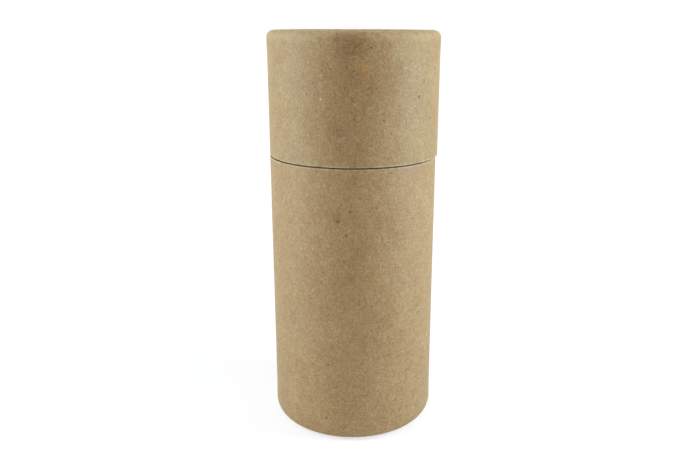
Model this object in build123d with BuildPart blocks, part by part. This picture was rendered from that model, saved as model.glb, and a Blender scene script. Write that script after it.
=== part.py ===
from build123d import *
import os

# Kraft cardboard gift tube: a body tube, a lid tube and a glued inner tube that carries the lid.
# The far end of each outer tube is rolled inwards onto a flat board disc.
# The frame has its origin on the body's axis, on the surface that the tube stands on, and +Z up.
# All sizes are in millimetres.

# Body
body_diameter = 80.0
body_height = 134.1
base_roll_bend = 5.5
base_flare = 0.15

# Lid, and how it sits on the neck
lid_height = 57.4
lid_roll_bend = 1.9
lid_flare = 0.15
seam_gap = 0.6
neck_clearance = 0.55
lid_side_gap = 0.15

# Board of both outer tubes, and what their rolled ends share
outer_wall = 1.5
roll_land = 1.2
tuck_bend = 0.5
flare_length = 10.0
cut_edge_chamfer = 0.2

# Inner tube
inner_wall = 1.2
glue_line = 0.2

# Discs
disc_thickness = 2.0
disc_clearance = 0.1

# Radii worked out from the outside inwards, then out again to the lid
body_radius = body_diameter / 2
body_bore_radius = body_radius - outer_wall
inner_radius = body_bore_radius - glue_line
inner_bore_radius = inner_radius - inner_wall
lid_bore_radius = inner_radius + neck_clearance
lid_radius = lid_bore_radius + outer_wall

# The lid's play in its fit lets it stand to one side, on +X, with lid_side_gap left on the other
lid_shift = neck_clearance - lid_side_gap
lid_axis = Axis((lid_shift, 0, 0), (0, 0, 1))

# Each disc seats where the straight wall ends and the rolled corner begins
base_recess = outer_wall + base_roll_bend
lid_recess = outer_wall + lid_roll_bend

# Heights along the axis: the lid's disc rests on the inner tube and holds the seam open
lid_mouth = body_height + seam_gap
lid_top = lid_mouth + lid_height
lid_disc_top = lid_top - lid_recess
neck_top = lid_disc_top - disc_thickness
inner_foot = base_recess + disc_thickness


# Half section of an outer tube's wall, drawn from its cut edge at y = 0 to its rolled end
# at y = length. The wall swells slightly, turns inwards in a rounded corner, runs level along
# the crest and turns back down until its cut edge presses on the disc.
def rolled_section(radius, length, roll_bend, flare):
    roll_radius = outer_wall + roll_bend
    tuck_radius = outer_wall + tuck_bend
    rim_radius = radius + flare
    bend_start = length - roll_radius
    flare_start = bend_start - flare_length
    crest_outer = rim_radius - roll_radius
    crest_inner = crest_outer - roll_land
    with BuildSketch() as section:
        with BuildLine():
            wall = Line((radius, 0), (radius, flare_start))
            flare_middle = (radius + flare / 2, flare_start + flare_length / 2)
            swell = TangentArc(wall @ 1, flare_middle, tangent=wall % 1)
            settle = TangentArc(swell @ 1, (rim_radius, bend_start), tangent=swell % 1)
            corner = TangentArc(settle @ 1, (crest_outer, length), tangent=settle % 1)
            crest = Line(corner @ 1, (crest_inner, length))
            tuck_end = (crest_inner - tuck_radius, length - tuck_radius)
            tuck = TangentArc(crest @ 1, tuck_end, tangent=crest % 1)
            Line(tuck @ 1, (crest_inner - tuck_radius, bend_start))
            offset(amount=outer_wall, side=Side.LEFT, closed=True)
        make_face()
        chamfer(section.vertices().group_by(Axis.Y)[0], length=cut_edge_chamfer)
    return section.sketch


# Body tube: rolled end down on the surface, cut rim up at the seam
with BuildPart() as body_tube:
    with BuildSketch(Plane((0, 0, body_height), x_dir=(1, 0, 0), z_dir=(0, 1, 0))):
        add(rolled_section(body_radius, body_height, base_roll_bend, base_flare))
    revolve(axis=Axis.Z)
body_tube.part.label = "body_tube"

# Base disc: laid on the rolled end from above
with BuildPart() as base_disc:
    with BuildSketch(Plane.XY.offset(base_recess)):
        Circle(body_bore_radius - disc_clearance)
    extrude(amount=disc_thickness)
base_disc.part.label = "base_disc"

# Inner tube: glued in the body tube, it stands on the base disc and reaches the lid's disc
with BuildPart() as inner_tube:
    with BuildSketch(Plane.XY.offset(inner_foot)):
        Circle(inner_radius)
        Circle(inner_bore_radius, mode=Mode.SUBTRACT)
    extrude(amount=neck_top - inner_foot)
    chamfer(inner_tube.edges().group_by(Axis.Z)[-1], length=cut_edge_chamfer)
inner_tube.part.label = "inner_tube"

# Lid tube: cut rim down at the seam, rolled end up
with BuildPart() as lid_tube:
    with BuildSketch(Plane((lid_shift, 0, lid_mouth), x_dir=(1, 0, 0), z_dir=(0, -1, 0))):
        add(rolled_section(lid_radius, lid_height, lid_roll_bend, lid_flare))
    revolve(axis=lid_axis)
lid_tube.part.label = "lid_tube"

# Lid disc: pressed up against the rolled end, it rests on the inner tube
with BuildPart() as lid_disc:
    with BuildSketch(Plane((lid_shift, 0, neck_top))):
        Circle(lid_bore_radius - disc_clearance)
    extrude(amount=disc_thickness)
lid_disc.part.label = "lid_disc"

os.makedirs("parts", exist_ok=True)
export_step(body_tube.part, "parts/body_tube.step")
export_step(base_disc.part, "parts/base_disc.step")
export_step(inner_tube.part, "parts/inner_tube.step")
export_step(lid_tube.part, "parts/lid_tube.step")
export_step(lid_disc.part, "parts/lid_disc.step")
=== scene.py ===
import math

import bmesh
import bpy
from mathutils import Euler, Matrix, Vector, noise


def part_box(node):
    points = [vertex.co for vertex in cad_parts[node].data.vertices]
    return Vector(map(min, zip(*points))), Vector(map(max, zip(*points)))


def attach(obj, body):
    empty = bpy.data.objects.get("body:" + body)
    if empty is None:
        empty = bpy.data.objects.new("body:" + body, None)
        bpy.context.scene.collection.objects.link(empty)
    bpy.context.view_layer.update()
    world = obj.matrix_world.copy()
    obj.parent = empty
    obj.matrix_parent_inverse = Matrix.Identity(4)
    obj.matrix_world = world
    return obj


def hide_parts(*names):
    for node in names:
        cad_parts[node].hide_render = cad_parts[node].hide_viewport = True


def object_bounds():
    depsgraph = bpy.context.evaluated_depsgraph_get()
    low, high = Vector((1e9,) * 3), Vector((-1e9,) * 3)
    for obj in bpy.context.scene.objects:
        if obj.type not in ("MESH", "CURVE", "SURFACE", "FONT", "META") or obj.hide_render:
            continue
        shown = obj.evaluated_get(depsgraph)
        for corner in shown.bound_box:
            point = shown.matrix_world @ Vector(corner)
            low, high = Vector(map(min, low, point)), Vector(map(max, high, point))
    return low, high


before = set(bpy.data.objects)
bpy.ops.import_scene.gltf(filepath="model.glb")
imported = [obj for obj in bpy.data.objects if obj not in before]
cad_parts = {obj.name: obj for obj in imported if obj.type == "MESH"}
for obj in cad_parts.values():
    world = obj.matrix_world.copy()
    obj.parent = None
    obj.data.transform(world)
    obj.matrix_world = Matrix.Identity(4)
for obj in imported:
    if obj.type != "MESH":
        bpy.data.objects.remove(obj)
cad_low, cad_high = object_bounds()

scene = bpy.context.scene
scene.view_settings.view_transform = "Standard"
mm = 0.001


# Camera: it stands close to the tube, level with the lid's top, and looks down a little. The lid's
# top is then seen edge on, while the seam and the base curve downwards. The slight roll and turn and
# the small shift frame the tube as in the photograph.
camera_distance = 353.63 * mm
camera_height = 195.68 * mm
camera_pitch = math.radians(16.030)
camera_turn = math.radians(-0.735)
camera_roll = math.radians(0.182)
camera_shift = -0.01731
camera_sensor = 36.0
camera_lens = 37.80

camera_data = bpy.data.cameras.new("camera")
camera_data.sensor_width = camera_sensor
camera_data.lens = camera_lens
camera_data.shift_x = camera_shift
camera = bpy.data.objects.new("camera", camera_data)
aim = Euler((math.pi / 2 - camera_pitch, 0.0, camera_turn)).to_matrix()
camera.rotation_euler = (aim @ Matrix.Rotation(camera_roll, 3, "Z")).to_euler()
camera.location = (0.0, -camera_distance, camera_height)
scene.collection.objects.link(camera)
scene.camera = camera


# Studio floor: a wide sheet of matt white board that the tube stands on. It is no part of the tube
# and only carries its soft shadow. What the camera sees of it is lifted to white by a little light
# of its own, which grows away from the tube, where the lamps' light ends, so no far edge shows.
floor_size = 20.0
floor_colour = "#F0F0EE"
floor_seen_colour = "#BCBDC5"
floor_own_light_near = 0.66
floor_own_light_far = 0.90
floor_near = 120 * mm
floor_far = 700 * mm


def linear(hex_colour):
    """An sRGB colour written as #RRGGBB, as a linear colour with full alpha."""
    parts = [int(hex_colour[i:i + 2], 16) / 255 for i in (1, 3, 5)]
    return [c / 12.92 if c <= 0.04045 else ((c + 0.055) / 1.055) ** 2.4 for c in parts] + [1.0]


def add_node(tree, kind, sockets=None, **settings):
    """Adds one node. Settings are its own options, and sockets gives values or links by socket."""
    made = tree.nodes.new(kind)
    for option, value in settings.items():
        setattr(made, option, value)
    for socket, value in (sockets or {}).items():
        if isinstance(value, bpy.types.NodeSocket):
            tree.links.new(value, made.inputs[socket])
        else:
            made.inputs[socket].default_value = value
    return made


def seen_directly(tree):
    """1 for what the camera sees straight on, in a reflection or through glass, otherwise 0."""
    path = add_node(tree, "ShaderNodeLightPath").outputs
    mirrored = add_node(tree, "ShaderNodeMath", {0: path["Is Camera Ray"], 1: path["Is Glossy Ray"]},
                        operation="MAXIMUM").outputs[0]
    return add_node(tree, "ShaderNodeMath", {0: mirrored, 1: path["Is Transmission Ray"]},
                    operation="MAXIMUM").outputs[0]


bpy.ops.object.select_all(action="DESELECT")
bpy.ops.mesh.primitive_plane_add(size=floor_size, location=(0.0, 0.0, cad_low.z))
floor = bpy.context.object
floor.name = "studio_floor"
bpy.ops.object.transform_apply()

white_board = bpy.data.materials.new("matt_white_board")
white_board.use_nodes = True
tree = white_board.node_tree
tree.nodes.clear()
plain = add_node(tree, "ShaderNodeBsdfDiffuse", {"Color": linear(floor_colour)})
seen = add_node(tree, "ShaderNodeBsdfDiffuse", {"Color": linear(floor_seen_colour)})
place = add_node(tree, "ShaderNodeTexCoord").outputs["Object"]
distance = add_node(tree, "ShaderNodeVectorMath", {0: place}, operation="LENGTH").outputs[1]
own_light = add_node(tree, "ShaderNodeMapRange",
                     {"Value": distance, "From Min": floor_near, "From Max": floor_far,
                      "To Min": floor_own_light_near, "To Max": floor_own_light_far}).outputs[0]
glow = add_node(tree, "ShaderNodeEmission", {"Strength": own_light})
lifted = add_node(tree, "ShaderNodeAddShader", {0: seen.outputs[0], 1: glow.outputs[0]})
board = add_node(tree, "ShaderNodeMixShader",
                 {0: seen_directly(tree), 1: plain.outputs[0], 2: lifted.outputs[0]})
add_node(tree, "ShaderNodeOutputMaterial", {"Surface": board.outputs[0]})
floor.data.materials.append(white_board)


# Studio light: a white backdrop all round that lights the tube evenly and softly, a tall softbox
# on each side and a large one overhead. No lamp stands by the camera, so the front of the tube is the
# darkest part. The backdrop's light is a little warm, and the softboxes' light a little cool.
backdrop_light = 0.375
backdrop_tint = "#FFE6CE"
backdrop_seen_colour = "#FFFFFF"
softbox_tint = "#DAF6FF"
softbox_distance = 520 * mm
softbox_height = 370 * mm
softbox_width = 140 * mm
softbox_length = 800 * mm
softboxes = (
    # name, azimuth in degrees, watts
    ("softbox_left", -78.0, 3.6),
    ("softbox_right", 78.0, 4.1),
)
overhead_height = 900 * mm
overhead_size = 500 * mm
overhead_watts = 0.2

backdrop = bpy.data.worlds.new("white_backdrop")
scene.world = backdrop
backdrop.use_nodes = True
tree = backdrop.node_tree
tree.nodes.clear()
fill = add_node(tree, "ShaderNodeBackground",
                {"Color": linear(backdrop_tint), "Strength": backdrop_light})
white = add_node(tree, "ShaderNodeBackground",
                 {"Color": linear(backdrop_seen_colour), "Strength": 1.0})
both = add_node(tree, "ShaderNodeMixShader",
                {0: seen_directly(tree), 1: fill.outputs[0], 2: white.outputs[0]})
add_node(tree, "ShaderNodeOutputWorld", {"Surface": both.outputs[0]})


def add_softbox(name, width, length, watts, location, rotation):
    """A soft lamp that the camera doesn't see. Unturned, it shines straight down."""
    lamp = bpy.data.lights.new(name, "AREA")
    lamp.shape = "RECTANGLE"
    lamp.size = width
    lamp.size_y = length
    lamp.energy = watts
    lamp.color = linear(softbox_tint)[:3]
    holder = bpy.data.objects.new(name, lamp)
    holder.location = location
    holder.rotation_euler = rotation
    holder.visible_camera = False
    scene.collection.objects.link(holder)


for name, azimuth, watts in softboxes:
    turn = math.radians(azimuth)
    location = (softbox_distance * math.sin(turn), -softbox_distance * math.cos(turn), softbox_height)
    add_softbox(name, softbox_width, softbox_length, watts, location, (math.pi / 2, 0.0, turn))
add_softbox("softbox_overhead", overhead_size, overhead_size, overhead_watts,
            (0.0, 0.0, overhead_height), (0.0, 0.0, 0.0))


# Body tube: board wound from strips of grey chipboard with a sheet of brown kraft paper glued round
# it as the last turn. The lower end is rolled inwards on a heated former until its cut edge stands
# on the base board, and the upper end is cut square with a knife.
wall = 1.5 * mm
tuck_radius = 2.0 * mm
roll_land = 1.2 * mm
flare_length = 10.0 * mm
cut_edge_round = 0.2 * mm
rim_flare = 0.15 * mm
body_roll_radius = 7.0 * mm
body_lap = math.radians(97.0)
body_seed = 3.0

# Faces along and round the section: wall, rolled corner, crest, tuck, tail and the rounded cut edges.
wall_rows = 32
corner_steps = 14
crest_rows = 2
tuck_steps = 8
tail_rows = 3
edge_steps = 3
steps_round = 480

# Unevenness. The waves are sunk by most of their height, so that they stay inside the CAD wall.
wave_height = 0.055 * mm
wave_size = 17.0 * mm
wave_sink = 0.8
lap_step = 0.10 * mm
pucker_height = 0.16 * mm
pucker_size = 2.6 * mm
pucker_bias = 0.5
crest_pucker_share = 0.5
ragged_height = 0.10 * mm
ragged_size = 9.0 * mm
ragged_band = 0.3 * mm

# How far a face's middle may lie from the bore, inwards and outwards, and from the cut, to be bare,
# and the most that a face of the bore may look up or down.
bore_slack_in = 1.0 * mm
bore_slack_out = 0.3 * mm
cut_slack = 0.05 * mm
upright_face = 0.5


def near(a, b):
    """True if two lengths are the same to a hundredth of a millimetre."""
    return abs(a - b) < 0.01 * mm


def ease(t):
    """A smooth step from 0 to 1."""
    t = min(max(t, 0.0), 1.0)
    return t * t * (3.0 - 2.0 * t)


def choose(piece, test):
    """In edit mode, selects the vertices whose place passes the test, and what they enclose."""
    mesh = bmesh.from_edit_mesh(piece.data)
    for vertex in mesh.verts:
        vertex.select_set(False)
    mesh.select_flush(False)
    for vertex in mesh.verts:
        vertex.select_set(test(vertex.co))
    mesh.select_flush(True)
    bmesh.update_edit_mesh(piece.data)


def start_section(name, outer_radius, thickness, low, high, rows):
    """Starts a wall's section: an upright strip of small faces, in edit mode, right of the axis."""
    bpy.ops.object.select_all(action="DESELECT")
    bpy.ops.mesh.primitive_grid_add(x_subdivisions=1, y_subdivisions=rows, size=1.0,
                                    rotation=(math.pi / 2, 0.0, 0.0),
                                    location=(outer_radius - thickness / 2, 0.0, (low + high) / 2))
    piece = bpy.context.object
    piece.name = piece.data.name = name
    piece.scale = (thickness, high - low, 1.0)
    bpy.ops.object.transform_apply()
    bpy.ops.object.mode_set(mode="EDIT")
    bpy.ops.mesh.select_mode(type="VERT")
    return piece


def turn_section(piece, axis_x, steps):
    """Keeps the section's outline, turns it once round the upright axis and puts it in place."""
    bpy.ops.mesh.select_all(action="SELECT")
    bpy.ops.mesh.region_to_loop()
    bpy.ops.mesh.select_mode(type="EDGE")
    bpy.ops.mesh.select_all(action="INVERT")
    bpy.ops.mesh.delete(type="EDGE")
    bpy.ops.object.mode_set(mode="OBJECT")
    lathe = piece.modifiers.new("lathe", "SCREW")
    lathe.angle = 2 * math.pi
    lathe.steps = lathe.render_steps = steps
    lathe.use_merge_vertices = True
    lathe.merge_threshold = 0.001 * mm
    bpy.ops.object.modifier_apply(modifier=lathe.name)
    bpy.ops.object.mode_set(mode="EDIT")
    bpy.ops.mesh.select_all(action="SELECT")
    bpy.ops.mesh.normals_make_consistent(inside=False)
    bpy.ops.object.mode_set(mode="OBJECT")
    piece.location.x = axis_x
    bpy.ops.object.transform_apply()
    bpy.ops.object.shade_smooth()


def rolled_tube(name, axis_x, rim_radius, cut_end, rolled_end, roll_radius):
    """A wound tube with one rolled end: wall, rolled corner, level crest, tuck and straight tail."""
    way = 1 if rolled_end > cut_end else -1
    bend_start = rolled_end - way * roll_radius
    roll_x = rim_radius - roll_radius
    tuck_x = roll_x - roll_land
    piece = start_section(name, rim_radius, wall, min(bend_start, cut_end), max(bend_start, cut_end),
                          wall_rows)
    choose(piece, lambda place: near(place.z, bend_start))
    bpy.ops.mesh.spin(steps=corner_steps, angle=math.pi / 2, center=(roll_x, 0.0, bend_start),
                      axis=(0.0, way, 0.0))
    crest_step = (-roll_land / crest_rows, 0.0, 0.0)
    for _ in range(crest_rows):
        bpy.ops.mesh.extrude_region_move(TRANSFORM_OT_translate={"value": crest_step})
    bpy.ops.mesh.spin(steps=tuck_steps, angle=math.pi / 2,
                      center=(tuck_x, 0.0, rolled_end - way * tuck_radius), axis=(0.0, way, 0.0))
    tail_step = (0.0, 0.0, way * (tuck_radius - roll_radius) / tail_rows)
    for _ in range(tail_rows):
        bpy.ops.mesh.extrude_region_move(TRANSFORM_OT_translate={"value": tail_step})
    choose(piece, lambda place: near(place.z, cut_end)
           or (near(place.z, bend_start) and place.x < tuck_x))
    bpy.ops.mesh.bevel(offset=cut_edge_round, segments=edge_steps, affect="VERTICES")
    turn_section(piece, axis_x, steps_round)
    return piece


def work_board(piece, axis_x, rim_radius, cut_end, rolled_end, roll_radius, lap, seed):
    """Gives a rolled tube the unevenness of wound board: its flare, waves, the lap's step, the
    puckers where the roll gathers the board, and a slightly uneven cut edge."""
    way = 1 if rolled_end > cut_end else -1
    roll_inner = rim_radius - roll_radius
    for vertex in piece.data.vertices:
        x, y, z = vertex.co
        around = math.atan2(y, x - axis_x)
        radius = math.hypot(x - axis_x, y)
        depth = abs(z - rolled_end)
        inwards = roll_inner - radius
        swell = ease(1.0 - (depth - roll_radius) / flare_length)
        wave = noise.noise(Vector((x, y, z)) / wave_size + Vector((seed, 0.0, 0.0)))
        turned = ((around - lap) / (2 * math.pi)) % 1.0
        round_place = Vector((math.cos(around), math.sin(around), 0.0)) * rim_radius
        fold = noise.noise(round_place / pucker_size + Vector((0.0, 0.0, seed)))
        near_rim = ease(2.0 - 2.0 * depth / roll_radius)
        gathered = ease(inwards / (roll_land + tuck_radius)) * near_rim
        creased = ease(inwards / roll_land) * (depth < tuck_radius)
        ragged = noise.noise(round_place / ragged_size + Vector((0.0, seed, 0.0)))
        if inwards < 0:
            radius -= rim_flare * (1.0 - swell)
            radius += wave_height * (wave - wave_sink) - lap_step * turned
        radius += pucker_height * fold * gathered
        z -= way * pucker_height * max(pucker_bias + fold, 0.0) * creased * crest_pucker_share
        z += way * ragged_height * abs(ragged) * (abs(z - cut_end) < ragged_band)
        vertex.co = (axis_x + radius * math.cos(around), radius * math.sin(around), z)


def bare_board(piece, axis_x, bore_radius, cut_end, board):
    """Gives the grey board to the faces that the kraft paper doesn't cover: bore and cut edges."""
    piece.data.materials.append(board)
    for face in piece.data.polygons:
        middle = face.center
        outwards = Vector((middle.x - axis_x, middle.y, 0.0))
        radius = math.hypot(middle.x - axis_x, middle.y)
        in_bore = bore_radius - bore_slack_in < radius < bore_radius + bore_slack_out
        faces_axis = face.normal.dot(outwards) < 0 and abs(face.normal.z) < upright_face
        on_cut = abs(middle.z - cut_end) < cut_slack
        if on_cut or (in_bore and faces_axis):
            face.material_index = 1


body_low, body_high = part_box("body_tube")
body_rim_radius = min(-body_low.x, -body_low.y)
kraft_body = rolled_tube("kraft_body", 0.0, body_rim_radius, body_high.z, body_low.z,
                         body_roll_radius)
work_board(kraft_body, 0.0, body_rim_radius, body_high.z, body_low.z, body_roll_radius, body_lap,
           body_seed)
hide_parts("body_tube")
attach(kraft_body, "base")


# Body tube, its kraft paper: unbleached pulp, glazed on its outer side. Its long fibres show as dark
# and pale threads over a cloudy brown that is redder where it is darker. The sheen is soft, and a
# little stronger on the dark, dense spots, so the grain fades where light glances off.
kraft_dark = "#926A41"
kraft_mid = "#AE8B61"
kraft_pale = "#C6AC82"
kraft_thread_dark = "#6B4F30"
kraft_thread_pale = "#D6C5A4"
kraft_speck = "#4A311B"
kraft_resin = "#C89352"
kraft_roughness = 0.60
kraft_glaze = 0.12
kraft_ior = 1.47

# Most of a noise's values lie between these two.
noise_low = 0.3
noise_high = 0.7

# The finest grain, the threads and the flecks are drawn about three times as wide as real ones, to
# show at all.
kraft_clouds = (
    # size, share of the tone, height of the relief
    (14.0 * mm, 0.22, 0.40 * mm),
    (6.0 * mm, 0.19, 0.20 * mm),
    (3.0 * mm, 0.16, 0.10 * mm),
    (1.5 * mm, 0.20, 0.06 * mm),
    (0.75 * mm, 0.78, 0.03 * mm),
)
kraft_hue_size = 3.2 * mm
kraft_hue_detail = 3.0
kraft_hue_roughness = 0.9
kraft_hue_seed = 3.0
kraft_hue_red = 0.35
kraft_hue_blue = 0.62
kraft_threads = (
    # size, width, colour, strength
    (2.6 * mm, 0.035, kraft_thread_dark, 0.34),
    (1.9 * mm, 0.040, kraft_thread_dark, 0.32),
    (1.5 * mm, 0.045, kraft_thread_dark, 0.30),
    (3.0 * mm, 0.022, kraft_thread_pale, 0.31),
    (2.1 * mm, 0.026, kraft_thread_pale, 0.26),
)
kraft_thread_height = 0.012 * mm
kraft_thread_curl = 0.6
kraft_thread_cuts = 1.4
kraft_thread_ends = (0.46, 0.60)
kraft_thread_curl_step = 1.7
kraft_thread_cut_seed = 9.0
kraft_thread_cut_step = 2.3
kraft_fleck_core = 0.4
kraft_flecks = (
    # spacing, radius, share of the cells that hold one, strength
    (9.0 * mm, 0.50 * mm, 0.22, 0.80),
    (4.0 * mm, 0.55 * mm, 0.22, 0.62),
    (2.6 * mm, 0.50 * mm, 0.30, 0.44),
)


def paper_tone(tree, sheet):
    """The pulp's cloudy light and dark, about 0.5, and the height of the sheet's relief."""
    tone = 0.5
    relief = 0.0
    for size, share, height in kraft_clouds:
        cloud = add_node(tree, "ShaderNodeTexNoise",
                         {"Vector": sheet, "Scale": 1 / size, "Detail": 0.0}).outputs[0]
        centred = add_node(tree, "ShaderNodeMath", {0: cloud, 1: 0.5}, operation="SUBTRACT").outputs[0]
        tone = add_node(tree, "ShaderNodeMath", {0: centred, 1: share, 2: tone},
                        operation="MULTIPLY_ADD").outputs[0]
        relief = add_node(tree, "ShaderNodeMath", {0: centred, 1: height, 2: relief},
                          operation="MULTIPLY_ADD").outputs[0]
    return tone, relief


def paper_colour(tree, sheet, tone, redness):
    """The brown that goes with the tone, with a little red and blue shift of its own."""
    ramp = add_node(tree, "ShaderNodeValToRGB", {"Fac": tone})
    ramp.color_ramp.elements[0].color = linear(kraft_dark)
    ramp.color_ramp.elements[1].color = linear(kraft_pale)
    ramp.color_ramp.elements.new(0.5).color = linear(kraft_mid)
    hue = add_node(tree, "ShaderNodeTexNoise",
                   {"Vector": sheet, "Scale": 1 / kraft_hue_size, "Detail": kraft_hue_detail,
                    "Roughness": kraft_hue_roughness, "W": kraft_hue_seed},
                   noise_dimensions="4D").outputs["Color"]
    shift = add_node(tree, "ShaderNodeVectorMath",
                     {0: hue, 1: (kraft_hue_red, 0.0, kraft_hue_blue),
                      2: (redness - kraft_hue_red / 2, 1.0, 1 - kraft_hue_blue / 2)},
                     operation="MULTIPLY_ADD").outputs[0]
    return add_node(tree, "ShaderNodeVectorMath", {0: ramp.outputs[0], 1: shift},
                    operation="MULTIPLY").outputs[0]


def draw_threads(tree, sheet, colour, relief):
    """Curly fibres: thin level lines of a noise, cut into short lengths by a second one. The
    number of the kind moves both noises on, so that no two kinds lie on the same lines."""
    for number, (size, width, shade, strength) in enumerate(kraft_threads):
        curl = add_node(tree, "ShaderNodeTexNoise",
                        {"Vector": sheet, "Scale": 1 / size, "Detail": 1.0,
                         "Distortion": kraft_thread_curl, "W": kraft_thread_curl_step * number},
                        noise_dimensions="4D").outputs[0]
        beside = add_node(tree, "ShaderNodeMath", {0: curl, 1: 0.5}, operation="SUBTRACT").outputs[0]
        beside = add_node(tree, "ShaderNodeMath", {0: beside}, operation="ABSOLUTE").outputs[0]
        line = add_node(tree, "ShaderNodeMapRange",
                        {"Value": beside, "From Min": width, "From Max": 0.0}).outputs[0]
        lengths = add_node(tree, "ShaderNodeTexNoise",
                           {"Vector": sheet, "Scale": kraft_thread_cuts / size, "Detail": 0.0,
                            "W": kraft_thread_cut_seed + kraft_thread_cut_step * number},
                           noise_dimensions="4D").outputs[0]
        short = add_node(tree, "ShaderNodeMapRange",
                         {"Value": lengths, "From Min": kraft_thread_ends[0],
                          "From Max": kraft_thread_ends[1]}).outputs[0]
        thread = add_node(tree, "ShaderNodeMath", {0: line, 1: short},
                          operation="MULTIPLY").outputs[0]
        cover = add_node(tree, "ShaderNodeMath", {0: thread, 1: strength},
                         operation="MULTIPLY").outputs[0]
        colour = add_node(tree, "ShaderNodeMix", {0: cover, 6: colour, 7: linear(shade)},
                          data_type="RGBA").outputs[2]
        relief = add_node(tree, "ShaderNodeMath", {0: thread, 1: kraft_thread_height, 2: relief},
                          operation="MULTIPLY_ADD").outputs[0]
    return colour, relief


def draw_flecks(tree, sheet, colour):
    """Small dark specks of bark, strewn over the sheet."""
    for spacing, radius, share, strength in kraft_flecks:
        cells = add_node(tree, "ShaderNodeTexVoronoi", {"Vector": sheet, "Scale": 1 / spacing})
        spot = add_node(tree, "ShaderNodeMapRange",
                        {"Value": cells.outputs["Distance"], "From Min": radius / spacing,
                         "From Max": kraft_fleck_core * radius / spacing,
                         "To Max": strength}).outputs[0]
        rare = add_node(tree, "ShaderNodeSeparateColor", {0: cells.outputs["Color"]}).outputs[0]
        rare = add_node(tree, "ShaderNodeMath", {0: rare, 1: share}, operation="LESS_THAN").outputs[0]
        speck = add_node(tree, "ShaderNodeMath", {0: spot, 1: rare}, operation="MULTIPLY").outputs[0]
        colour = add_node(tree, "ShaderNodeMix", {0: speck, 6: colour, 7: linear(kraft_speck)},
                          data_type="RGBA").outputs[2]
    return colour


# Marks have an uneven outline. Those larger than soft_mark_size fade out over their whole radius:
# stains, and down the lid's front painted shade.
mark_reach = 1.7
mark_wobble = 1.6
mark_wobble_size = 2.0 * mm
mark_sharp_fade = 0.35
soft_mark_size = 1.0 * mm


def draw_marks(tree, place, colour, axis_x, radius, marks):
    """Single marks at their own places on the side: sharp specks, and soft marks that fade out, which
    are stains and, down the lid's front, painted shade. Each tints the sheet so that its middle brown
    takes the mark's colour, and the grain shows through."""
    wobble = add_node(tree, "ShaderNodeTexNoise",
                      {"Vector": place, "Scale": 1 / mark_wobble_size, "Detail": 2.0}).outputs[0]
    for azimuth, height, size, shade, strength in marks:
        turn = math.radians(azimuth)
        centre = (axis_x + radius * math.sin(turn), -radius * math.cos(turn), height)
        gap = add_node(tree, "ShaderNodeVectorMath", {0: place, 1: centre},
                       operation="DISTANCE").outputs[1]
        gap = add_node(tree, "ShaderNodeMath", {0: wobble, 1: mark_wobble * size, 2: gap},
                       operation="MULTIPLY_ADD").outputs[0]
        fade = size if size > soft_mark_size else mark_sharp_fade * size
        mark = add_node(tree, "ShaderNodeMapRange",
                        {"Value": gap, "From Min": mark_reach * size + fade,
                         "From Max": mark_reach * size - fade, "To Max": strength},
                        interpolation_type="SMOOTHSTEP").outputs[0]
        tint = [part / whole for part, whole in zip(linear(shade), linear(kraft_mid))]
        colour = add_node(tree, "ShaderNodeMix", {0: mark, 6: colour, 7: tint},
                          data_type="RGBA", blend_type="MULTIPLY").outputs[2]
    return colour


# Pale bands come in patches, and between the patches the sheet is still paled by the least share. They
# are partly rubbed wear and partly painted highlight, along the cut rims and the lid's rolled corner.
pale_patch_size = 3.0 * mm
pale_patch_range = (0.35, 0.6)
pale_least = 0.3
# painted highlight: the pale band along each cut rim is partly rubbed wear and partly the light caught
# on the rim's rounded edge
cut_wear_and_highlight_height = 0.9 * mm
cut_wear_and_highlight_strength = 0.72


def rub_and_highlight_edges(tree, place, sheet, colour, rubbed_and_lit):
    """Patchy, paler bands, partly rubbed wear and partly painted highlight: from nothing at one height
    to full at another.
    """
    height = add_node(tree, "ShaderNodeSeparateXYZ", {0: place}).outputs["Z"]
    patchy = add_node(tree, "ShaderNodeTexNoise",
                      {"Vector": sheet, "Scale": 1 / pale_patch_size, "Detail": 2.0}).outputs[0]
    patchy = add_node(tree, "ShaderNodeMapRange",
                      {"Value": patchy, "From Min": pale_patch_range[0],
                       "From Max": pale_patch_range[1], "To Min": pale_least}).outputs[0]
    for start, end, shade, strength in rubbed_and_lit:
        near_edge = add_node(tree, "ShaderNodeMapRange",
                             {"Value": height, "From Min": start, "From Max": end,
                              "To Max": strength}).outputs[0]
        paled = add_node(tree, "ShaderNodeMath", {0: near_edge, 1: patchy},
                        operation="MULTIPLY").outputs[0]
        colour = add_node(tree, "ShaderNodeMix", {0: paled, 6: colour, 7: linear(shade)},
                          data_type="RGBA").outputs[2]
    return colour


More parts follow.
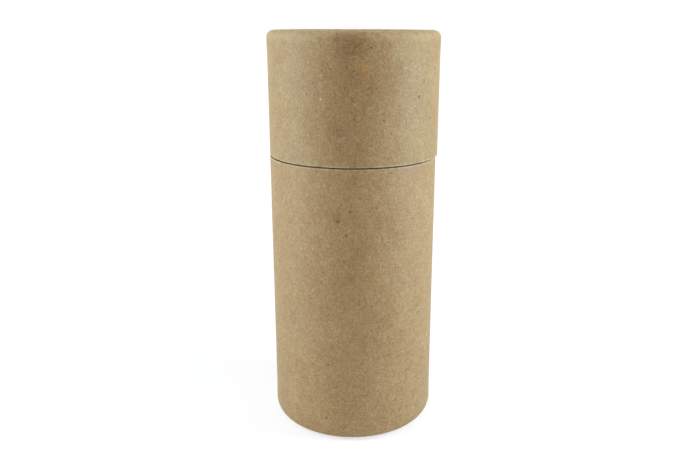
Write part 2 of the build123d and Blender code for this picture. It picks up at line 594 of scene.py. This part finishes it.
def kraft_paper(name, shift, axis_x=0.0, radius=0.0, marks=(), rubbed_and_lit=(), redness=1.0):
    """The kraft paper of one piece. The shift, in metres, moves the pattern, so that no two pieces
    match. Marks are placed on a tube by its axis and radius, and the pale bands of rubbed wear and
    painted highlight by height."""
    paper = bpy.data.materials.new(name)
    paper.use_nodes = True
    tree = paper.node_tree
    tree.nodes.clear()
    place = add_node(tree, "ShaderNodeTexCoord").outputs["Object"]
    sheet = add_node(tree, "ShaderNodeMapping", {"Vector": place, "Location": shift}).outputs[0]
    tone, relief = paper_tone(tree, sheet)
    colour = paper_colour(tree, sheet, tone, redness)
    colour, relief = draw_threads(tree, sheet, colour, relief)
    colour = draw_flecks(tree, sheet, colour)
    if rubbed_and_lit:
        colour = rub_and_highlight_edges(tree, place, sheet, colour, rubbed_and_lit)
    if marks:
        colour = draw_marks(tree, place, colour, axis_x, radius, marks)
    dull = add_node(tree, "ShaderNodeMapRange",
                    {"Value": tone, "From Min": noise_low, "From Max": noise_high,
                     "To Min": kraft_roughness - kraft_glaze,
                     "To Max": kraft_roughness + kraft_glaze}).outputs[0]
    bump = add_node(tree, "ShaderNodeBump", {"Height": relief, "Strength": 1.0, "Distance": 1.0})
    shader = add_node(tree, "ShaderNodeBsdfPrincipled",
                      {"Base Color": colour, "Roughness": dull, "Normal": bump.outputs[0],
                       "IOR": kraft_ior})
    add_node(tree, "ShaderNodeOutputMaterial", {"Surface": shader.outputs[0]})
    return paper


body_marks = (
    # azimuth in degrees, height, radius, colour, strength
    (-9.4, 110.6 * mm, 0.75 * mm, kraft_speck, 0.60),
    (-10.3, 112.2 * mm, 1.9 * mm, kraft_dark, 0.60),
    (-4.3, 104.5 * mm, 0.7 * mm, kraft_speck, 0.50),
    (2.0, 98.0 * mm, 6.0 * mm, kraft_dark, 0.20),
    (-3.0, 84.0 * mm, 7.0 * mm, kraft_dark, 0.18),
    (-1.9, 115.2 * mm, 0.65 * mm, kraft_speck, 0.55),
    (-46.5, 107.2 * mm, 0.55 * mm, kraft_speck, 0.80),
    (36.2, 100.7 * mm, 0.45 * mm, kraft_speck, 0.85),
    (-19.8, 86.2 * mm, 0.55 * mm, kraft_speck, 0.60),
    (6.5, 52.3 * mm, 0.5 * mm, kraft_speck, 0.55),
    (50.3, 46.2 * mm, 0.5 * mm, kraft_speck, 0.60),
    (19.5, 12.1 * mm, 0.5 * mm, kraft_speck, 0.50),
    (-19.1, 12.2 * mm, 0.5 * mm, kraft_speck, 0.60),
    (6.0, 25.2 * mm, 0.5 * mm, kraft_speck, 0.50),
    (-38.8, 27.3 * mm, 0.6 * mm, kraft_speck, 0.45),
    (36.4, 24.3 * mm, 0.45 * mm, kraft_speck, 0.50),
    (17.2, 126.4 * mm, 0.5 * mm, kraft_speck, 0.60),
    (3.3, 98.0 * mm, 0.5 * mm, kraft_speck, 0.60),
    (32.3, 105.0 * mm, 0.5 * mm, kraft_speck, 0.50),
    (15.5, 116.5 * mm, 0.5 * mm, kraft_speck, 0.50),
)
body_rubbed_and_lit = (
    # start, end, colour, strength
    (body_high.z - cut_wear_and_highlight_height, body_high.z, kraft_thread_pale, cut_wear_and_highlight_strength),
)
kraft_body.data.materials.append(
    kraft_paper("kraft_paper_body", (0.0, 0.0, 0.0), 0.0, body_rim_radius, body_marks,
                body_rubbed_and_lit))


# Body tube, its bare chipboard: recycled pulp pressed in plies, grey on the cut rim and in the bore.
# It is dull and flecked, with faint rings where the plies meet, and the kraft's brown edge outermost.
# The rim is painted darker brown away from a stretch at the front: painted shade, where the gap under
# the lid lets no light onto the rim.
chipboard_dark = "#7E8890"
chipboard_pale = "#A0AAB2"
lit_rim_azimuth = math.radians(14.0)
lit_rim_half_width = math.radians(21.0)
shaded_rim_half_width = math.radians(39.0)
rim_shade_strength = 0.85
chipboard_grain = 0.9 * mm
chipboard_relief = 0.06 * mm
chipboard_roughness = 0.85
chipboard_ior = 1.45
chipboard_specular = 0.2
ply = 0.35 * mm
ply_share = 0.10
paper_edge = 0.16 * mm
paper_edge_fade = 1.4


def grey_chipboard(name, axis_x, outer_radius):
    """The bare board of one piece, with its plies' rings centred on the piece's axis, and painted
    shade on its rim away from the front.
    """
    board = bpy.data.materials.new(name)
    board.use_nodes = True
    tree = board.node_tree
    tree.nodes.clear()
    place = add_node(tree, "ShaderNodeTexCoord").outputs["Object"]
    centred = add_node(tree, "ShaderNodeMapping",
                       {"Vector": place, "Location": (-axis_x, 0.0, 0.0)}).outputs[0]
    flat = add_node(tree, "ShaderNodeVectorMath", {0: centred, 1: (1.0, 1.0, 0.0)},
                    operation="MULTIPLY").outputs[0]
    radius = add_node(tree, "ShaderNodeVectorMath", {0: flat}, operation="LENGTH").outputs[1]
    grain = add_node(tree, "ShaderNodeTexNoise",
                     {"Vector": centred, "Scale": 1 / chipboard_grain, "Detail": 3.0}).outputs[0]
    turns = add_node(tree, "ShaderNodeMath", {0: radius, 1: 2 * math.pi / ply},
                     operation="MULTIPLY").outputs[0]
    rings = add_node(tree, "ShaderNodeMath", {0: turns}, operation="SINE").outputs[0]
    tone = add_node(tree, "ShaderNodeMath", {0: rings, 1: ply_share, 2: grain},
                    operation="MULTIPLY_ADD").outputs[0]
    tone = add_node(tree, "ShaderNodeMapRange",
                    {"Value": tone, "From Min": noise_low, "From Max": noise_high}).outputs[0]
    colour = add_node(tree, "ShaderNodeMix",
                      {0: tone, 6: linear(chipboard_dark), 7: linear(chipboard_pale)},
                      data_type="RGBA").outputs[2]
    # painted shade: away from the lit stretch at the front, the rim turns dark brown
    lit_rim_side = (math.sin(lit_rim_azimuth), -math.cos(lit_rim_azimuth), 0.0)
    beside = add_node(tree, "ShaderNodeVectorMath", {0: centred, 1: lit_rim_side},
                      operation="DOT_PRODUCT").outputs[1]
    beside = add_node(tree, "ShaderNodeMath", {0: beside, 1: radius},
                      operation="DIVIDE").outputs[0]
    rim_shade = add_node(tree, "ShaderNodeMapRange",
                     {"Value": beside, "From Min": math.cos(lit_rim_half_width),
                      "From Max": math.cos(shaded_rim_half_width), "To Max": rim_shade_strength}).outputs[0]
    colour = add_node(tree, "ShaderNodeMix", {0: rim_shade, 6: colour, 7: linear(kraft_dark)},
                      data_type="RGBA").outputs[2]
    brown = add_node(tree, "ShaderNodeMapRange",
                     {"Value": radius, "From Min": outer_radius - paper_edge_fade * paper_edge,
                      "From Max": outer_radius - paper_edge}).outputs[0]
    colour = add_node(tree, "ShaderNodeMix", {0: brown, 6: colour, 7: linear(kraft_pale)},
                      data_type="RGBA").outputs[2]
    bump = add_node(tree, "ShaderNodeBump",
                    {"Height": grain, "Strength": 1.0, "Distance": chipboard_relief})
    shader = add_node(tree, "ShaderNodeBsdfPrincipled",
                      {"Base Color": colour, "Roughness": chipboard_roughness,
                       "Normal": bump.outputs[0], "IOR": chipboard_ior,
                       "Specular IOR Level": chipboard_specular})
    add_node(tree, "ShaderNodeOutputMaterial", {"Surface": shader.outputs[0]})
    return board


bare_board(kraft_body, 0.0, body_rim_radius - rim_flare - wall, body_high.z,
           grey_chipboard("grey_chipboard_body", 0.0, body_rim_radius - rim_flare))


# Neck tube: a thinner board tube, wound in a spiral and glued inside the body. It stands up past
# the body's cut rim, and the lid slips over it. Its kraft liner shows the spiral's butt seams.
neck_wall = 1.2 * mm
neck_seam_pitch = 62.0 * mm
neck_seam_width = 0.35 * mm
neck_seam_depth = 0.1 * mm
neck_rows = 24
neck_steps_round = 256


def spiral_seam(paper, pitch, width, depth):
    """Adds the spiral winding's seam to a kraft paper: a thin dark line with a slight groove."""
    tree = paper.node_tree
    shader = next(n for n in tree.nodes if n.type == "BSDF_PRINCIPLED")
    bump = next(n for n in tree.nodes if n.type == "BUMP")
    place = next(n for n in tree.nodes if n.type == "TEX_COORD").outputs["Object"]
    parts = add_node(tree, "ShaderNodeSeparateXYZ", {0: place}).outputs
    turned = add_node(tree, "ShaderNodeMath", {0: parts["Y"], 1: parts["X"]},
                      operation="ARCTAN2").outputs[0]
    turned = add_node(tree, "ShaderNodeMath", {0: turned, 1: 1 / (2 * math.pi)},
                      operation="MULTIPLY").outputs[0]
    along = add_node(tree, "ShaderNodeMath", {0: parts["Z"], 1: 1 / pitch, 2: turned},
                     operation="MULTIPLY_ADD").outputs[0]
    phase = add_node(tree, "ShaderNodeMath", {0: along}, operation="FRACT").outputs[0]
    beside = add_node(tree, "ShaderNodeMath", {0: phase, 1: 0.5}, operation="SUBTRACT").outputs[0]
    beside = add_node(tree, "ShaderNodeMath", {0: beside}, operation="ABSOLUTE").outputs[0]
    seam = add_node(tree, "ShaderNodeMapRange",
                    {"Value": beside, "From Min": width / pitch, "From Max": 0.0}).outputs[0]
    colour_link = shader.inputs["Base Color"].links[0].from_socket
    colour = add_node(tree, "ShaderNodeMix", {0: seam, 6: colour_link, 7: linear(kraft_thread_dark)},
                      data_type="RGBA").outputs[2]
    tree.links.new(colour, shader.inputs["Base Color"])
    relief = bump.inputs["Height"].links[0].from_socket
    grooved = add_node(tree, "ShaderNodeMath", {0: seam, 1: -depth, 2: relief},
                       operation="MULTIPLY_ADD").outputs[0]
    tree.links.new(grooved, bump.inputs["Height"])


neck_low, neck_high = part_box("inner_tube")
neck_radius = min(-neck_low.x, -neck_low.y)
neck_tube = start_section("neck_tube", neck_radius, neck_wall, neck_low.z, neck_high.z, neck_rows)
choose(neck_tube, lambda place: near(place.z, neck_high.z) or near(place.z, neck_low.z))
bpy.ops.mesh.bevel(offset=cut_edge_round, segments=edge_steps, affect="VERTICES")
turn_section(neck_tube, 0.0, neck_steps_round)
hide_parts("inner_tube")
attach(neck_tube, "base")
neck_paper = kraft_paper("kraft_paper_neck", (0.3, 0.1, 0.0))
spiral_seam(neck_paper, neck_seam_pitch, neck_seam_width, neck_seam_depth)
neck_tube.data.materials.append(neck_paper)


# Base board: a stamped disc of board, faced with kraft paper. It lies on the rolled end inside the
# body, and the neck tube stands on it.
disc_edge_round = 0.3 * mm
disc_steps_round = 192
disc_rings = 7
disc_smooth_angle = math.radians(40.0)
disc_dish = 0.15 * mm
disc_dish_slope = 1.3
disc_uneven_size = 12.0 * mm
disc_uneven_share = 0.4
level_face = 0.99


def stamped_disc(name, node, shift, shown_side):
    """A disc of board whose rims the stamping tool has rounded, faintly dished on the shown side:
    1 is the upper side and -1 the lower one. Rings of faces, inset on both sides, carry the dish."""
    low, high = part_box(node)
    radius = (high.y - low.y) / 2
    centre_x = (low.x + high.x) / 2
    bpy.ops.object.select_all(action="DESELECT")
    bpy.ops.mesh.primitive_cylinder_add(vertices=disc_steps_round, radius=radius,
                                        depth=high.z - low.z,
                                        location=(centre_x, 0.0, (low.z + high.z) / 2))
    disc = bpy.context.object
    disc.name = disc.data.name = name
    bpy.ops.object.transform_apply()
    bpy.ops.object.mode_set(mode="EDIT")
    bpy.ops.mesh.select_mode(type="FACE")
    mesh = bmesh.from_edit_mesh(disc.data)
    for face in mesh.faces:
        face.select_set(abs(face.normal.z) > level_face)
    bmesh.update_edit_mesh(disc.data)
    bpy.ops.mesh.bevel(offset=disc_edge_round, segments=edge_steps, affect="EDGES")
    mesh = bmesh.from_edit_mesh(disc.data)
    for face in mesh.faces:
        face.select_set(abs(face.normal.z) > level_face and len(face.verts) > 4)
    bmesh.update_edit_mesh(disc.data)
    for _ in range(disc_rings):
        bpy.ops.mesh.inset(thickness=radius / (disc_rings + 1))
    bpy.ops.mesh.poke()
    bpy.ops.object.mode_set(mode="OBJECT")
    shown_z = high.z if shown_side > 0 else low.z
    for vertex in disc.data.vertices:
        if near(vertex.co.z, shown_z):
            out = math.hypot(vertex.co.x - centre_x, vertex.co.y) / radius
            uneven = 1.0 + disc_uneven_share * noise.noise(vertex.co / disc_uneven_size)
            dish = disc_dish * uneven * ease(disc_dish_slope * (1.0 - out))
            vertex.co.z -= shown_side * dish
    bpy.ops.object.shade_smooth_by_angle(angle=disc_smooth_angle)
    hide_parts(node)
    disc.data.materials.append(kraft_paper("kraft_paper_" + name, shift))
    return disc


base_board = stamped_disc("base_board", "base_disc", (0.1, 0.2, 0.3), -1)
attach(base_board, "base")


# Lid tube: the same board and paper, wound a little wider so that it slips over the neck. Its upper
# end is rolled inwards over the lid board, more tightly than the base.
lid_roll_radius = 3.4 * mm
lid_lap = math.radians(83.0)
lid_seed = 7.0
lid_redness = 0.97
# painted highlight: the pale band along the lid's rolled corner is partly rubbed wear and partly the
# light that the crest catches from above
corner_wear_and_highlight_height = 5.0 * mm
corner_wear_and_highlight_strength = 0.80
lid_low, lid_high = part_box("lid_tube")
lid_axis = (lid_low.x + lid_high.x) / 2
lid_rim_radius = min(lid_high.x - lid_axis, -lid_low.y)
kraft_lid = rolled_tube("kraft_lid", lid_axis, lid_rim_radius, lid_low.z, lid_high.z,
                        lid_roll_radius)
work_board(kraft_lid, lid_axis, lid_rim_radius, lid_low.z, lid_high.z, lid_roll_radius, lid_lap,
           lid_seed)
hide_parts("lid_tube")
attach(kraft_lid, "lid")
lid_marks_and_shade = (
    # azimuth in degrees, height, radius, colour, strength
    (45.3, 164.3 * mm, 0.75 * mm, kraft_speck, 0.75),
    (10.6, 185.3 * mm, 0.5 * mm, kraft_speck, 0.60),
    (-4.0, 177.3 * mm, 0.5 * mm, kraft_speck, 0.45),
    (-25.5, 170.7 * mm, 0.5 * mm, kraft_speck, 0.60),
    (47.8, 173.9 * mm, 0.45 * mm, kraft_speck, 0.40),
    (-50.9, 149.2 * mm, 0.45 * mm, kraft_speck, 0.40),
    (-55.2, 151.6 * mm, 0.45 * mm, kraft_speck, 0.40),
    (-20.6, 163.9 * mm, 0.8 * mm, kraft_thread_pale, 0.60),
    (6.0, 177.2 * mm, 2.2 * mm, kraft_resin, 0.56),
    # partly stains, partly painted shade: these large dark marks run down the lid's front, where the
    # side lamps leave it darkest
    (-13.1, 151.8 * mm, 4.0 * mm, kraft_dark, 0.35),
    (-7.6, 150.2 * mm, 3.0 * mm, kraft_dark, 0.30),
    (-0.9, 185.0 * mm, 6.0 * mm, kraft_dark, 0.40),
    (-1.0, 191.5 * mm, 7.5 * mm, kraft_dark, 0.60),
    (-1.0, 172.0 * mm, 13.0 * mm, kraft_dark, 0.42),
    (-2.0, 149.0 * mm, 10.0 * mm, kraft_dark, 0.26),
)
lid_rubbed_and_lit = (
    # start, end, colour, strength
    (lid_low.z + cut_wear_and_highlight_height, lid_low.z, kraft_thread_pale, cut_wear_and_highlight_strength),
    (lid_high.z - corner_wear_and_highlight_height, lid_high.z, kraft_pale, corner_wear_and_highlight_strength),
)
kraft_lid.data.materials.append(
    kraft_paper("kraft_paper_lid", (0.5, 0.4, 0.1), lid_axis, lid_rim_radius, lid_marks_and_shade,
                lid_rubbed_and_lit, lid_redness))
bare_board(kraft_lid, lid_axis, lid_rim_radius - rim_flare - wall, lid_low.z,
           grey_chipboard("grey_chipboard_lid", lid_axis, lid_rim_radius - rim_flare))


# Lid board: a stamped disc of kraft-faced board held up under the lid's rolled rim. Its upper face
# is the lid's recessed top, and its lower face rests on the neck tube.
lid_board = stamped_disc("lid_board", "lid_disc", (0.2, 0.6, 0.3), 1)
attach(lid_board, "lid")
